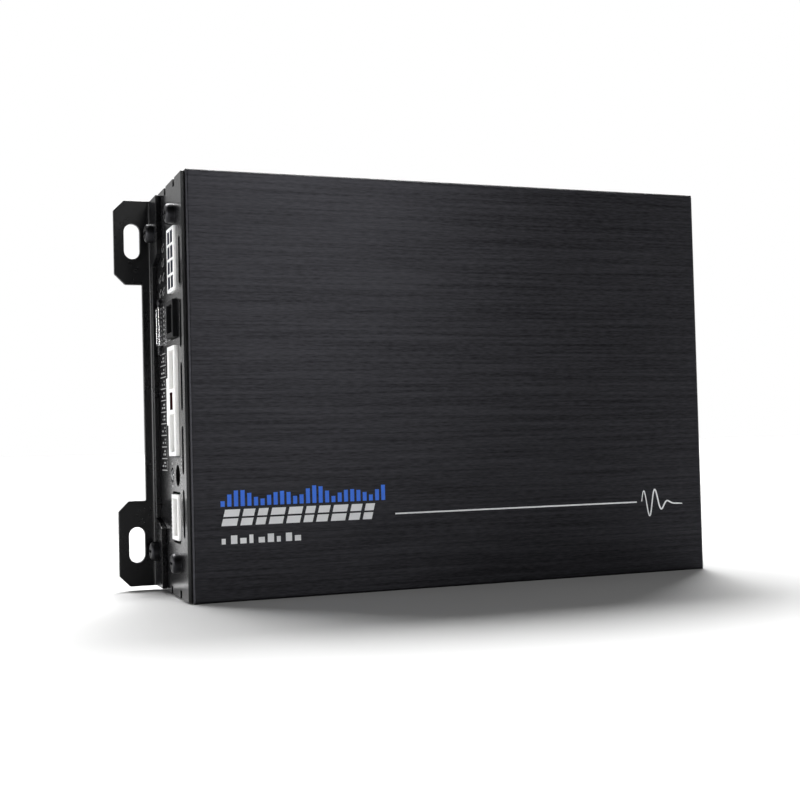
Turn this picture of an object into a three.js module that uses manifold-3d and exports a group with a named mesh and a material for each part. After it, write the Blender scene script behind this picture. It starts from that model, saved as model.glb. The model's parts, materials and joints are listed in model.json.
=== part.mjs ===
// A compact car amplifier with a signal processor, standing on one long side.
// Millimetres. X runs along the long face, Y from the brushed face back to the mounting feet, Z up.
// The origin is at the middle of the resting side, so the sockets are on the -X end.
import * as THREE from "three";
import { mergeVertices } from "three/addons/utils/BufferGeometryUtils.js";
import Module from "manifold-3d";

const wasm = await Module();
wasm.setup();

// Overall sizes
const faceLength = 160;
const bodyDepth = 44; // the height follows from the column of sockets

// How far a cut runs past a face, and a joined piece into its neighbour
const past = 1;

// Clearances
const seat = 0.05; // between two flat faces that touch
const fit = 0.3; // round a piece that sits in an opening

// Heat sink extrusion, and the brushed plate bonded to its front
const facePlateThickness = 1.6;
const faceBevel = 0.5;
const bondFilm = 0.3;
const frontWall = 2.4;
const sideWall = 5.5;
const grooveCount = 3;
const grooveWidth = 2.4;
const grooveDepth = 2.6;
const firstGroove = 12.2; // from the front of the face plate
const groovePitch = 13;
const railDepth = 2;
const railThickness = 1.4;

// Sheet metal: end plates, base plate and mounting brackets
const endPlateThickness = 1;
const endPlateInset = 0.3;
const basePlateThickness = 1.2;
const basePlateRecess = 0.35; // behind the plane of the feet
const bracketThickness = 1.5;
const bracketInset = 1.2;
const bendRadius = 0.9;
const flangeHeight = 4.2;
const tabHeight = 12;
const tabLength = 17;
const tabSlope = 3;
const earReach = 13.2; // from the end of the face to the tip of the ear
const earLength = 25.2;
const earChamfer = 3.1;
const stripReach = 5.1;
const footSlotWidth = 4.7;
const footSlotLength = 10.5;
const footSlotReach = 7.9;
const footSlotDrop = 13.4; // from the top edge of the face to the middle of the slot

// Screws
const screwShank = 2.9;
const screwHead = 5.6;
const screwHeadHeight = 2.4;
const screwLength = 9;
const crownWidth = 0.75; // shares of the head's width and height
const crownDrop = 0.1;
const rimDrop = 0.45;
const crossWidth = 0.8;
const crossSpan = 3;
const crossDepth = 1.1;
const frontScrewEdge = 10; // from the long edge of the face
const frontScrewDepth = 13.5; // from the front
const rearScrewEdge = 11.7;
const rearScrewDepth = 37.7;
const bossWall = 1.45;
const baseScrewHead = 5.2;
const baseScrewEdge = 6.2;
const baseScrewEnd = 12;
const baseScrewLength = 6.5;

// Main board, held in the side rails, and the sockets that stand on it
const boardFront = 20.4; // from the front of the face plate to the component side
const boardThickness = 1.6;
const boardEndGap = 4;
const stackTop = 13.6; // from the top edge of the face to the first socket
const stackFoot = 16.2; // from the last socket to the bottom edge
const socketGap = 2.375; // between two sockets
const headerRim = 0.6;
const headerLength = 14.5;
const headerFloor = 3;
const pinPitch = 4.2;
const pinColumns = 2;
const powerRows = 4;
const powerProud = 0.7;
const contactHole = 3.3;
const harnessRows = 7;
const harnessProud = 1.1;
const harnessBoss = 2;
const harnessBossLength = 13.3;
const harnessBossDepth = 4.6;
const remotePitch = 3.8;
const remoteRows = 3;
const remoteProud = 0.6;
const remoteGap = 0.8;
const socketWall = 1.1;
const ribRecess = 1; // of the key in the remote header
const lockWidth = 3.4;
const lockLength = 4.2;
const lockRecess = 0.7;
const opticalHeight = 10.5;
const opticalDepth = 9.8;
const opticalProud = 1.3;
const opticalLength = 13.5;
const opticalHole = 7.7;
const shutterRecess = 1.2;
const shutterThickness = 0.7;
const receiverLength = 2.8;
const gainHole = 6;
const gainDepth = 13.5; // from the front
const gainShaft = 4.8;
const gainSpindle = 3;
const gainRecess = 1.2;
const gainBodyStart = 4.5;
const gainBodyLength = 7;
const gainBodyFloor = 2;
const gainBodyWidth = 9.4;
const ledWidth = 3.7;
const ledDepth = 21.5; // from the front
const ledProud = 0.3;
const ledLength = 4.9;
const ledFlat = 0.7; // share of the radius
const ledFlatRise = 0.25;
const ledShoulder = 0.9;

// Vent slots
const ventCount = 5;
const ventLength = 13.1;
const ventWidth = 2.4;
const ventPitch = 17.3;
const ventDepth = 5.8; // from the front

// Signal board behind the main board, with the data port
const signalFront = 37.3;
const signalStart = 3;
const signalLength = 60;
const signalHeight = 64;
const standoffWidth = 5;
const standoffInset = 4;
const standoffStart = 9;
const dataPortDrop = 39.7; // from the top edge of the face
const dataPortHeight = 11.3;
const dataPortDepth = 4.6;
const dataPortProud = 1.1;
const dataPortLength = 10.1;
const dataPortWall = 0.5;
const tongueThickness = 1.5;
const tongueRecess = 1;
const portPlugLength = 2;
const processorSize = 14;
const processorThickness = 1.4;
const linkWidth = 5;
const linkLength = 26;
const portScrewHead = 2.4;
const portScrewSpacing = 14.1;
const portScrewProud = 1;
const portScrewShank = 1.4;
const portScrewReach = 2; // past the inside of the end plate
const portCrownWidth = 0.8; // shares of the head
const portRimDrop = 0.3;

// Power stage on the main board
const spreaderThickness = 3;
const spreaderHeight = 20;
const chipCount = 2;
const chipWidth = 20;
const chipHeight = 15;
const chipThickness = 4.6;
const chipSpacing = 32;
const chipLeads = 11;
const leadPitch = 1.7;
const leadWidth = 0.6;
const leadDrop = 2;
const clampHeight = 8;
const clampThickness = 2;
const clampScrewMargin = 8;
const capacitorWidth = 13;
const capacitorLength = 15;
const capacitorCount = 3;
const capacitorGap = 3;
const capacitorRim = 0.6;
const chokeWidth = 26;
const chokeHole = 9;
const chokeThickness = 11.5;
const inductorWidth = 14;
const inductorHole = 5;
const inductorThickness = 8;
const inductorCount = 4;
const inductorGap = 8;
const ringCorner = 0.4; // share of the half width of a wound ring
const transformerLength = 28;
const transformerHeight = 24;
const transformerDepth = 14.5;
const transformerMargin = 6; // from the end of the board
const windowWidth = 5;
const windowHeight = 14;
const windowSpacing = 14;
const coreBack = 2;
const partGap = 1; // between a part on the board and the screw boss beside it

// The column of sockets, from the top down, and a face as tall as they need
const headerHeight = (rows, pitch) => rows * pitch + 2 * headerRim;
const headerDepth = (pitch) => pinColumns * pitch + 2 * headerRim;
const stack = [
  ["power", headerHeight(powerRows, pinPitch)],
  ["optical", opticalHeight],
  ["harness", headerHeight(harnessRows, pinPitch)],
  ["gain", gainHole],
  ["remote", headerHeight(remoteRows, remotePitch)],
];
const stackHeights = stack.reduce((sum, [, height]) => sum + height, 0);
const faceHeight = stackTop + stackHeights + (stack.length - 1) * socketGap + stackFoot;
const middleOf = {};
let nextTop = faceHeight - stackTop;
for (const [name, height] of stack) {
  middleOf[name] = nextTop - height / 2;
  nextTop -= height + socketGap;
}

// Places worked out from the sizes
const left = -faceLength / 2;
const right = faceLength / 2;
const front = -bodyDepth / 2;
const back = bodyDepth / 2;
const bodyFront = front + facePlateThickness + bondFilm;
const bodyInside = bodyFront + frontWall;
const basePlateBack = back - basePlateRecess;
const basePlateFront = basePlateBack - basePlateThickness;
const bodyBack = basePlateFront - seat;
const panel = left - seat - endPlateThickness; // outer face of the socket end
const board = front + boardFront;
const boardBack = board + boardThickness;
const signalBoard = front + signalFront;
const standsOn = board - seat; // back of everything that stands on the main board
const bothSides = [faceHeight, 0]; // Z of the top and bottom edges
const inward = (edge, distance) => (edge > 0 ? edge - distance : edge + distance);

// Colours
const material = (color, roughness, metalness = 0) =>
  new THREE.MeshStandardMaterial({ color, roughness, metalness });
const blackAnodised = material(0x1d1d20, 0.45, 0.6);
const brushedBlack = material(0x26262a, 0.4, 0.8);
const blackSheet = material(0x2a2a2c, 0.35, 0.3);
const blackBracket = material(0x121214, 0.45, 0.3);
const blackScrew = material(0x0d0d0f, 0.3, 0.7);
const whiteNylon = material(0xf1f0ec, 0.5);
const blackPlastic = material(0x0c0c0e, 0.3);
const darkRed = material(0x4a0d14, 0.45);
const brightSteel = material(0xc8cacd, 0.25, 1);
const rawAluminium = material(0xb3b6b8, 0.4, 1);
const boardGreen = material(0x14452c, 0.5);
const paleLens = material(0xdfe3e4, 0.2);
const copperWire = material(0xa55a2a, 0.35, 0.9);
const ferrite = material(0x3a3a3c, 0.7);
const sleeve = material(0x1b2a4a, 0.4);

// Solids
function solidOf(geometry) {
  const bare = geometry.clone();
  bare.deleteAttribute("normal");
  bare.deleteAttribute("uv");
  const merged = mergeVertices(bare, 1e-4);
  return new wasm.Manifold(
    new wasm.Mesh({
      numProp: 3,
      vertProperties: merged.attributes.position.array,
      triVerts: new Uint32Array(merged.index.array),
    }),
  );
}

function geometryOf(solid) {
  const mesh = solid.getMesh();
  const geometry = new THREE.BufferGeometry();
  geometry.setAttribute("position", new THREE.BufferAttribute(mesh.vertProperties, 3));
  geometry.setIndex(new THREE.BufferAttribute(mesh.triVerts, 1));
  geometry.computeVertexNormals();
  return geometry;
}

const join = (...pieces) =>
  geometryOf(pieces.map(solidOf).reduce((whole, piece) => whole.add(piece)));
const cut = (whole, ...tools) =>
  geometryOf(tools.map(solidOf).reduce((rest, tool) => rest.subtract(tool), solidOf(whole)));

// A block between two corners, each given as [x, y, z].
function block(low, high) {
  const size = high.map((value, i) => value - low[i]);
  const middle = high.map((value, i) => (value + low[i]) / 2);
  return new THREE.BoxGeometry(...size).translate(...middle);
}

// An outline given as [across, up] points.
const outline = (points) => new THREE.Shape(points.map(([u, v]) => new THREE.Vector2(u, v)));

function roundHole(u, v, width, segments = 16) {
  const points = Array.from({ length: segments }, (_, i) => {
    const angle = (2 * Math.PI * i) / segments;
    return [u + (width / 2) * Math.cos(angle), v + (width / 2) * Math.sin(angle)];
  });
  return outline(points);
}

// A slot with round ends whose length runs along v.
function longHole(u, v, width, length) {
  const shape = new THREE.Shape();
  const straight = (length - width) / 2;
  shape.absarc(u, v + straight, width / 2, 0, Math.PI);
  shape.absarc(u, v - straight, width / 2, Math.PI, 2 * Math.PI);
  return shape;
}

// An outline in Y and Z carried along X, and one in X and Z carried along Y.
function alongX(shape, from, to) {
  const turn = new THREE.Matrix4().makeBasis(
    new THREE.Vector3(0, 1, 0),
    new THREE.Vector3(0, 0, 1),
    new THREE.Vector3(1, 0, 0),
  );
  const made = new THREE.ExtrudeGeometry(shape, {
    depth: to - from,
    bevelEnabled: false,
    curveSegments: 6,
  });
  return made.applyMatrix4(turn).translate(from, 0, 0);
}

function alongY(shape, from, to) {
  const made = new THREE.ExtrudeGeometry(shape, {
    depth: to - from,
    bevelEnabled: false,
    curveSegments: 6,
  });
  return made.rotateX(Math.PI / 2).translate(0, to, 0);
}

// A profile of [radius, distance] points turned round an axis along Y, and the same along X.
function turnedY(profile, x, z, segments = 20) {
  const points = profile.map(([radius, distance]) => new THREE.Vector2(radius, distance));
  return new THREE.LatheGeometry(points, segments).translate(x, 0, z);
}

function turnedX(profile, y, z, segments = 20) {
  const points = profile.map(([radius, distance]) => new THREE.Vector2(radius, distance));
  return new THREE.LatheGeometry(points, segments).rotateZ(-Math.PI / 2).translate(0, y, z);
}

const amplifier = new THREE.Group();
function add(name, geometry, finish) {
  const mesh = new THREE.Mesh(geometry, finish);
  mesh.name = name;
  amplifier.add(mesh);
}

const dataPortMiddle = faceHeight - dataPortDrop;

// Screw places on each end, as [y, z]
const frontScrews = bothSides.map((edge) => [front + frontScrewDepth, inward(edge, frontScrewEdge)]);
const rearScrews = bothSides.map((edge) => [front + rearScrewDepth, inward(edge, rearScrewEdge)]);
const endScrews = [...frontScrews, ...rearScrews];
const screwPort = screwShank + 2 * fit;

// Screws of the base plate, as [x, z], and of the data port, as [y, z]
const baseScrews = [left + baseScrewEnd, right - baseScrewEnd].flatMap((x) =>
  bothSides.map((edge) => [x, inward(edge, baseScrewEdge)]),
);
const portScrewY = signalBoard - seat - dataPortDepth / 2;
const portScrewPlaces = [1, -1].map((side) => [
  portScrewY,
  dataPortMiddle + (side * portScrewSpacing) / 2,
]);

// Face plate: a flat plate with a small bevel round its front edge
function facePlate() {
  const high = faceHeight - faceBevel;
  const shape = outline([
    [left + faceBevel, faceBevel],
    [right - faceBevel, faceBevel],
    [right - faceBevel, high],
    [left + faceBevel, high],
  ]);
  const made = new THREE.ExtrudeGeometry(shape, {
    depth: facePlateThickness - faceBevel,
    bevelThickness: faceBevel,
    bevelSize: faceBevel,
    bevelSegments: 1,
  });
  const plate = made.rotateX(Math.PI / 2).translate(0, front + facePlateThickness, 0);
  return cut(plate, block(
    [left - past, front + facePlateThickness, -past],
    [right + past, back, faceHeight + past],
  ));
}
add("face_plate", facePlate(), brushedBlack);

// Cooling grooves in both long sides, from one X to another
function grooves(from, to) {
  return bothSides.flatMap((edge) =>
    Array.from({ length: grooveCount }, (_, i) => {
      const middle = front + firstGroove + i * groovePitch;
      const [low, high] = [inward(edge, -past), inward(edge, grooveDepth)].sort((a, b) => a - b);
      return block([from, middle - grooveWidth / 2, low], [to, middle + grooveWidth / 2, high]);
    }),
  );
}

// Heat sink: a U-shaped extrusion, with rails for the board and bosses for the end screws
function heatSink() {
  const whole = block([left, bodyFront, 0], [right, bodyBack, faceHeight]);
  const hollow = block(
    [left - past, bodyInside, sideWall],
    [right + past, bodyBack + past, faceHeight - sideWall],
  );
  const rails = bothSides.flatMap((edge) =>
    [board - fit - railThickness, boardBack + fit].map((y) => {
      const ends = [inward(edge, sideWall - past), inward(edge, sideWall + railDepth)];
      return block([left, y, Math.min(...ends)], [right, y + railThickness, Math.max(...ends)]);
    }),
  );
  const boss = (y, z, edge, boundary) => {
    const reach = screwPort / 2 + bossWall;
    const ends = [inward(edge, sideWall - past), edge > 0 ? z - reach : z + reach];
    return block(
      [left, y - reach, Math.min(...ends)],
      [right, boundary ?? y + reach, Math.max(...ends)],
    );
  };
  const bosses = bothSides.flatMap((edge, i) => [
    boss(...frontScrews[i], edge),
    boss(...rearScrews[i], edge, bodyBack),
  ]);
  const ports = endScrews.map(([y, z]) => alongX(roundHole(y, z, screwPort), left - past, right + past));
  const baseHoles = baseScrews.map(([x, z]) =>
    alongY(roundHole(x, z, screwPort), basePlateBack - baseScrewLength - past, bodyBack + past),
  );
  const body = join(cut(whole, hollow), ...rails, ...bosses);
  return cut(body, ...grooves(left - past, right + past), ...ports, ...baseHoles);
}
add("heatsink_body", heatSink(), blackAnodised);

// Base plate and its countersunk screws
const coneDepth = (baseScrewHead - screwShank) / 2;
function basePlate() {
  const edge = endPlateInset;
  const plate = block(
    [left + edge, basePlateFront, edge],
    [right - edge, basePlateBack, faceHeight - edge],
  );
  const wide = baseScrewHead / 2 + fit;
  const narrow = screwPort / 2;
  const holes = baseScrews.map(([x, z]) =>
    turnedY(
      [
        [0, basePlateFront - past],
        [narrow, basePlateFront - past],
        [narrow, basePlateBack - coneDepth],
        [wide, basePlateBack],
        [wide, basePlateBack + past],
        [0, basePlateBack + past],
      ],
      x,
      z,
      16,
    ),
  );
  return cut(plate, ...holes);
}
add("base_plate", basePlate(), blackSheet);
baseScrews.forEach(([x, z], i) => {
  const shank = screwShank / 2;
  const profile = [
    [0, basePlateBack - baseScrewLength],
    [shank, basePlateBack - baseScrewLength],
    [shank, basePlateBack - coneDepth],
    [baseScrewHead / 2, basePlateBack],
    [0, basePlateBack],
  ];
  const slots = [
    [crossSpan / 2, crossWidth / 2],
    [crossWidth / 2, crossSpan / 2],
  ].map(([a, b]) =>
    block([x - a, basePlateBack - crossDepth, z - b], [x + a, basePlateBack + past, z + b]),
  );
  add("base_screw_" + (i + 1), cut(turnedY(profile, x, z, 16), ...slots), blackScrew);
});

// End plates: sheet metal cut to the outline of the heat sink, with vent slots and screw holes
function plainEndPlate(from, to) {
  const edge = endPlateInset;
  const plate = block([from, bodyFront, edge], [to, bodyBack, faceHeight - edge]);
  const vents = Array.from({ length: ventCount }, (_, i) => {
    const z = faceHeight / 2 + (i - (ventCount - 1) / 2) * ventPitch;
    return alongX(longHole(front + ventDepth, z, ventWidth, ventLength), from - past, to + past);
  });
  const holes = endScrews.map(([y, z]) => alongX(roundHole(y, z, screwPort), from - past, to + past));
  return cut(plate, ...grooves(from - past, to + past), ...vents, ...holes);
}

// A block from the panel inwards for a socket that stands on the main board
function socketBlock(middle, height, depth, from, to, grow = 0) {
  return block(
    [from, standsOn - depth - grow, middle - height / 2 - grow],
    [to, standsOn + grow, middle + height / 2 + grow],
  );
}

function leftEndPlate() {
  const [from, to] = [panel - past, left + past];
  const [powerHeight, harnessHeight, remoteHeight] = [
    headerHeight(powerRows, pinPitch),
    headerHeight(harnessRows, pinPitch),
    headerHeight(remoteRows, remotePitch),
  ];
  const wideDepth = headerDepth(pinPitch);
  const bossHole = block(
    [from, standsOn - past, middleOf.harness - harnessBossLength / 2 - fit],
    [to, standsOn + harnessBoss + fit, middleOf.harness + harnessBossLength / 2 + fit],
  );
  const dataHole = block(
    [from, signalBoard - seat - dataPortDepth - fit, dataPortMiddle - dataPortHeight / 2 - fit],
    [to, signalBoard - seat + fit, dataPortMiddle + dataPortHeight / 2 + fit],
  );
  const portScrewHoles = portScrewPlaces.map(([y, z]) =>
    alongX(roundHole(y, z, portScrewShank + 2 * fit, 12), from, to),
  );
  return cut(
    plainEndPlate(panel, left - seat),
    socketBlock(middleOf.power, powerHeight, wideDepth, from, to, fit),
    socketBlock(middleOf.optical, opticalHeight, opticalDepth, from, to, fit),
    socketBlock(middleOf.harness, harnessHeight, wideDepth, from, to, fit),
    bossHole,
    socketBlock(middleOf.remote, remoteHeight, headerDepth(remotePitch), from, to, remoteGap),
    alongX(roundHole(front + gainDepth, middleOf.gain, gainHole, 24), from, to),
    alongX(roundHole(front + ledDepth, middleOf.gain, ledWidth + 2 * fit), from, to),
    dataHole,
    ...portScrewHoles,
  );
}
add("left_end_plate", leftEndPlate(), blackSheet);
add("right_end_plate", plainEndPlate(right + seat, right + seat + endPlateThickness), blackSheet);

// Mounting bracket for the left end: an L-section with tabs for the rear screws and two slotted ears
function leftBracket() {
  const inner = panel - seat;
  const outer = inner - bracketThickness;
  const tip = left - earReach;
  const footFront = back - bracketThickness;
  const low = bracketInset;
  const high = faceHeight - bracketInset;
  const wide = bendRadius + bracketThickness;
  const section = new THREE.Shape();
  section.moveTo(tip, back);
  section.lineTo(tip, footFront);
  section.lineTo(outer - bendRadius, footFront);
  section.absarc(outer - bendRadius, footFront - bendRadius, bendRadius, Math.PI / 2, 0, true);
  section.lineTo(outer, back - tabHeight);
  section.lineTo(inner, back - tabHeight);
  section.lineTo(inner, back - wide);
  section.absarc(inner - wide, back - wide, wide, 0, Math.PI / 2);
  section.lineTo(tip, back);
  const made = new THREE.ExtrudeGeometry(section, {
    depth: high - low,
    bevelEnabled: false,
    curveSegments: 6,
  });
  const strip = left - stripReach;
  const [upperEar, lowerEar] = [high - earLength, low + earLength];
  const c = earChamfer;
  const waist = outline([
    [tip - past, upperEar + c + past],
    [tip - past, lowerEar - c - past],
    [tip + c, lowerEar],
    [strip, lowerEar],
    [strip, upperEar],
    [tip + c, upperEar],
  ]);
  const corners = [
    [high, -1],
    [low, 1],
  ].map(([end, way]) =>
    outline([
      [tip - past, end - way],
      [tip + c, end - way],
      [tip + c, end],
      [tip, end + way * c],
      [tip - past, end + way * c],
    ]),
  );
  const slots = bothSides.map((edge) =>
    longHole(left - footSlotReach, inward(edge, footSlotDrop), footSlotWidth, footSlotLength),
  );
  const footCuts = [waist, ...corners, ...slots].map((shape) =>
    alongY(shape, footFront - past, back + past),
  );
  const [tabTop, tabFoot] = [high - tabLength, low + tabLength];
  const flangeCut = outline([
    [back - flangeHeight, tabTop - tabSlope],
    [back - tabHeight - past, tabTop],
    [back - tabHeight - past, tabFoot],
    [back - flangeHeight, tabFoot + tabSlope],
  ]);
  const holes = rearScrews.map(([y, z]) => roundHole(y, z, screwPort));
  const flangeCuts = [flangeCut, ...holes].map((shape) => alongX(shape, outer - past, inner + past));
  return cut(made.translate(0, 0, low), ...footCuts, ...flangeCuts);
}

// The same piece for the other end, as its mirror image
function mirrored(geometry) {
  const other = geometry.clone().scale(-1, 1, 1);
  const index = other.index.array;
  for (let i = 0; i < index.length; i += 3) [index[i], index[i + 1]] = [index[i + 1], index[i]];
  other.computeVertexNormals();
  return other;
}
const bracket = leftBracket();
add("left_mounting_bracket", bracket, blackBracket);
add("right_mounting_bracket", mirrored(bracket), blackBracket);

// Pan-head end screw whose head rests on a face at x = rest, pointing along +X
function endScrew(rest, y, z) {
  const head = rest - seat;
  const crown = head - screwHeadHeight;
  const [shank, wide] = [screwShank / 2, screwHead / 2];
  const profile = [
    [0, crown],
    [wide * crownWidth, crown + screwHeadHeight * crownDrop],
    [wide, crown + screwHeadHeight * rimDrop],
    [wide, head],
    [shank, head],
    [shank, head + screwLength],
    [0, head + screwLength],
  ];
  const slots = [
    [crossSpan / 2, crossWidth / 2],
    [crossWidth / 2, crossSpan / 2],
  ].map(([a, b]) => block([crown - past, y - a, z - b], [crown + crossDepth, y + a, z + b]));
  return cut(turnedX(profile, y, z, 16), ...slots);
}
for (const [row, places, rest] of [
  ["front", frontScrews, panel],
  ["rear", rearScrews, panel - seat - bracketThickness],
]) {
  for (const [i, level] of ["upper", "lower"].entries()) {
    const screw = endScrew(rest, ...places[i]);
    add(["left", row, level, "screw"].join("_"), screw, blackScrew);
    add(["right", row, level, "screw"].join("_"), mirrored(screw), blackScrew);
  }
}

// Main board, sliding in the side rails
add(
  "main_circuit_board",
  block(
    [left + boardEndGap, board, sideWall + fit],
    [right - boardEndGap, boardBack, faceHeight - sideWall - fit],
  ),
  boardGreen,
);

// Power header: one square hole for each contact
function powerHeader() {
  const height = headerHeight(powerRows, pinPitch);
  const depth = headerDepth(pinPitch);
  const from = panel - powerProud;
  const to = from + headerLength;
  const holes = [];
  for (let row = 0; row < powerRows; row++) {
    for (let column = 0; column < pinColumns; column++) {
      const y = standsOn - depth / 2 + (column - (pinColumns - 1) / 2) * pinPitch;
      const z = middleOf.power + (row - (powerRows - 1) / 2) * pinPitch;
      const half = contactHole / 2;
      holes.push(block([from - past, y - half, z - half], [to - headerFloor, y + half, z + half]));
    }
  }
  return cut(socketBlock(middleOf.power, height, depth, from, to), ...holes);
}
add("power_header", powerHeader(), whiteNylon);

// Harness header: two open sockets, with a boss and a locking window between them
function harnessHeader() {
  const height = headerHeight(harnessRows, pinPitch);
  const depth = headerDepth(pinPitch);
  const from = panel - harnessProud;
  const to = from + headerLength;
  const body = socketBlock(middleOf.harness, height, depth, from, to);
  const boss = block(
    [from, standsOn - past, middleOf.harness - harnessBossLength / 2],
    [from + harnessBossDepth, standsOn + harnessBoss, middleOf.harness + harnessBossLength / 2],
  );
  const sockets = [1, -1].map((side) => {
    const ends = [lockWindow / 2 + socketWall, height / 2 - socketWall].map(
      (reach) => middleOf.harness + side * reach,
    );
    return block(
      [from - past, standsOn - depth + socketWall, Math.min(...ends)],
      [to - headerFloor, standsOn - socketWall, Math.max(...ends)],
    );
  });
  return cut(join(body, boss), ...sockets, lockSpace(from - past, to - headerFloor, lockWindow, fit));
}

// The window through which the lock shows, from one X to another
function lockSpace(from, to, height, grow) {
  const y = standsOn - headerDepth(pinPitch) / 2;
  return block(
    [from, y - lockWidth / 2 - grow, middleOf.harness - height / 2],
    [to, y + lockWidth / 2 + grow, middleOf.harness + height / 2],
  );
}
const lockWindow = lockLength + 2 * fit;
add("harness_header", harnessHeader(), whiteNylon);
add(
  "harness_lock",
  lockSpace(
    panel - harnessProud + lockRecess,
    panel - harnessProud + headerLength - headerFloor - seat,
    lockLength,
    0,
  ),
  darkRed,
);

// Remote header: one open socket with a keying rib
function remoteHeader() {
  const height = headerHeight(remoteRows, remotePitch);
  const depth = headerDepth(remotePitch);
  const from = panel - remoteProud;
  const to = from + headerLength;
  const socket = block(
    [from - past, standsOn - depth + socketWall, middleOf.remote - height / 2 + socketWall],
    [to - headerFloor, standsOn - socketWall, middleOf.remote + height / 2 - socketWall],
  );
  const ribTop = middleOf.remote + height / 2;
  const ribY = standsOn - depth / 2;
  const rib = block(
    [from + ribRecess, ribY - socketWall / 2, ribTop - 2 * socketWall],
    [to - headerFloor, ribY + socketWall / 2, ribTop - socketWall / 2],
  );
  return join(cut(socketBlock(middleOf.remote, height, depth, from, to), socket), rib);
}
add("remote_header", remoteHeader(), whiteNylon);

// Optical port: a square tube, closed at its mouth by a hinged shutter and at its end by the receiver
const opticalStart = panel - opticalProud;
const opticalEnd = opticalStart + opticalLength;
const opticalMiddle = standsOn - opticalDepth / 2;
function opticalSpace(from, to, shrink) {
  const half = opticalHole / 2 - shrink;
  return block(
    [from, opticalMiddle - half, middleOf.optical - half],
    [to, opticalMiddle + half, middleOf.optical + half],
  );
}
add(
  "optical_port_housing",
  cut(
    socketBlock(middleOf.optical, opticalHeight, opticalDepth, opticalStart, opticalEnd),
    opticalSpace(opticalStart - past, opticalEnd + past, 0),
  ),
  blackPlastic,
);
const shutterFront = opticalStart + shutterRecess;
add(
  "optical_shutter",
  opticalSpace(shutterFront, shutterFront + shutterThickness, fit),
  blackPlastic,
);
add(
  "optical_receiver",
  opticalSpace(opticalEnd - receiverLength, opticalEnd, fit),
  blackPlastic,
);

// Gain control: a slotted shaft that turns in its body, just behind a hole in the end plate
const gainY = front + gainDepth;
const gainTip = panel + gainRecess;
const gainStart = left + gainBodyStart;
const spindleLength = gainBodyLength - gainBodyFloor;
function gainBody() {
  const body = block(
    [gainStart, gainY - gainBodyWidth / 2, middleOf.gain - gainBodyWidth / 2],
    [gainStart + gainBodyLength, standsOn, middleOf.gain + gainBodyWidth / 2],
  );
  const bore = roundHole(gainY, middleOf.gain, gainSpindle + 2 * fit);
  return cut(body, alongX(bore, gainStart - past, gainStart + spindleLength + fit));
}
function gainShaftPiece() {
  const [wide, narrow] = [gainShaft / 2, gainSpindle / 2];
  const shoulder = gainStart - fit;
  const end = gainStart + spindleLength;
  const profile = [
    [0, gainTip],
    [wide, gainTip],
    [wide, shoulder],
    [narrow, shoulder],
    [narrow, end],
    [0, end],
  ];
  const slot = block(
    [gainTip - past, gainY - crossWidth / 2, middleOf.gain - gainShaft],
    [gainTip + crossDepth, gainY + crossWidth / 2, middleOf.gain + gainShaft],
  );
  return cut(turnedX(profile, gainY, middleOf.gain), slot);
}
add("gain_control_body", gainBody(), blackPlastic);
add("gain_control_shaft", gainShaftPiece(), blackPlastic);

// Status light beside the gain control
const ledStart = panel - ledProud;
const ledRadius = ledWidth / 2;
add(
  "status_light",
  turnedX(
    [
      [0, ledStart],
      [ledRadius * ledFlat, ledStart + ledFlatRise],
      [ledRadius, ledStart + ledShoulder],
      [ledRadius, ledStart + ledLength],
      [0, ledStart + ledLength],
    ],
    front + ledDepth,
    middleOf.gain,
    20,
  ),
  paleLens,
);

// Signal board and its spacers
const signalFoot = faceHeight / 2 - signalHeight / 2;
const signalTop = faceHeight / 2 + signalHeight / 2;
add(
  "signal_board",
  block(
    [left + signalStart, signalBoard, signalFoot],
    [left + signalStart + signalLength, signalBoard + boardThickness, signalTop],
  ),
  boardGreen,
);
const spacerPlaces = [signalStart + standoffStart, signalStart + signalLength - standoffInset].flatMap(
  (x) => [signalTop - standoffInset, signalFoot + standoffInset].map((z) => [left + x, z]),
);
spacerPlaces.forEach(([x, z], i) => {
  const spacer = roundHole(x, z, standoffWidth, 6);
  add("board_spacer_" + (i + 1), alongY(spacer, boardBack + seat, signalBoard - seat), brightSteel);
});

// Data port: a folded steel shell round a contact tongue, with a small screw above and below
const dataStart = panel - dataPortProud;
const dataEnd = dataStart + dataPortLength;
const dataBack = signalBoard - seat;
const dataY = dataBack - dataPortDepth / 2;
function dataSpace(from, to, wall) {
  const [halfDepth, halfHeight] = [dataPortDepth / 2 - wall, dataPortHeight / 2 - wall];
  return block(
    [from, dataY - halfDepth, dataPortMiddle - halfHeight],
    [to, dataY + halfDepth, dataPortMiddle + halfHeight],
  );
}
add(
  "data_port_shell",
  cut(dataSpace(dataStart, dataEnd, 0), dataSpace(dataStart - past, dataEnd + past, dataPortWall)),
  brightSteel,
);
const plug = dataSpace(dataEnd - portPlugLength, dataEnd, dataPortWall + fit);
const tongueHalf = dataPortHeight / 2 - dataPortWall - 2 * tongueThickness;
const tongue = block(
  [dataStart + tongueRecess, dataY - tongueThickness / 2, dataPortMiddle - tongueHalf],
  [dataEnd - past, dataY + tongueThickness / 2, dataPortMiddle + tongueHalf],
);
add("data_port_tongue", join(plug, tongue), blackPlastic);
portScrewPlaces.forEach(([y, z], i) => {
  const [wide, narrow] = [portScrewHead / 2, portScrewShank / 2];
  const head = panel - seat;
  const profile = [
    [0, head - portScrewProud],
    [wide * portCrownWidth, head - portScrewProud],
    [wide, head - portScrewProud * (1 - portRimDrop)],
    [wide, head],
    [narrow, head],
    [narrow, left + portScrewReach],
    [0, left + portScrewReach],
  ];
  add("data_port_screw_" + ["upper", "lower"][i], turnedX(profile, y, z, 12), blackScrew);
});

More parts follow.
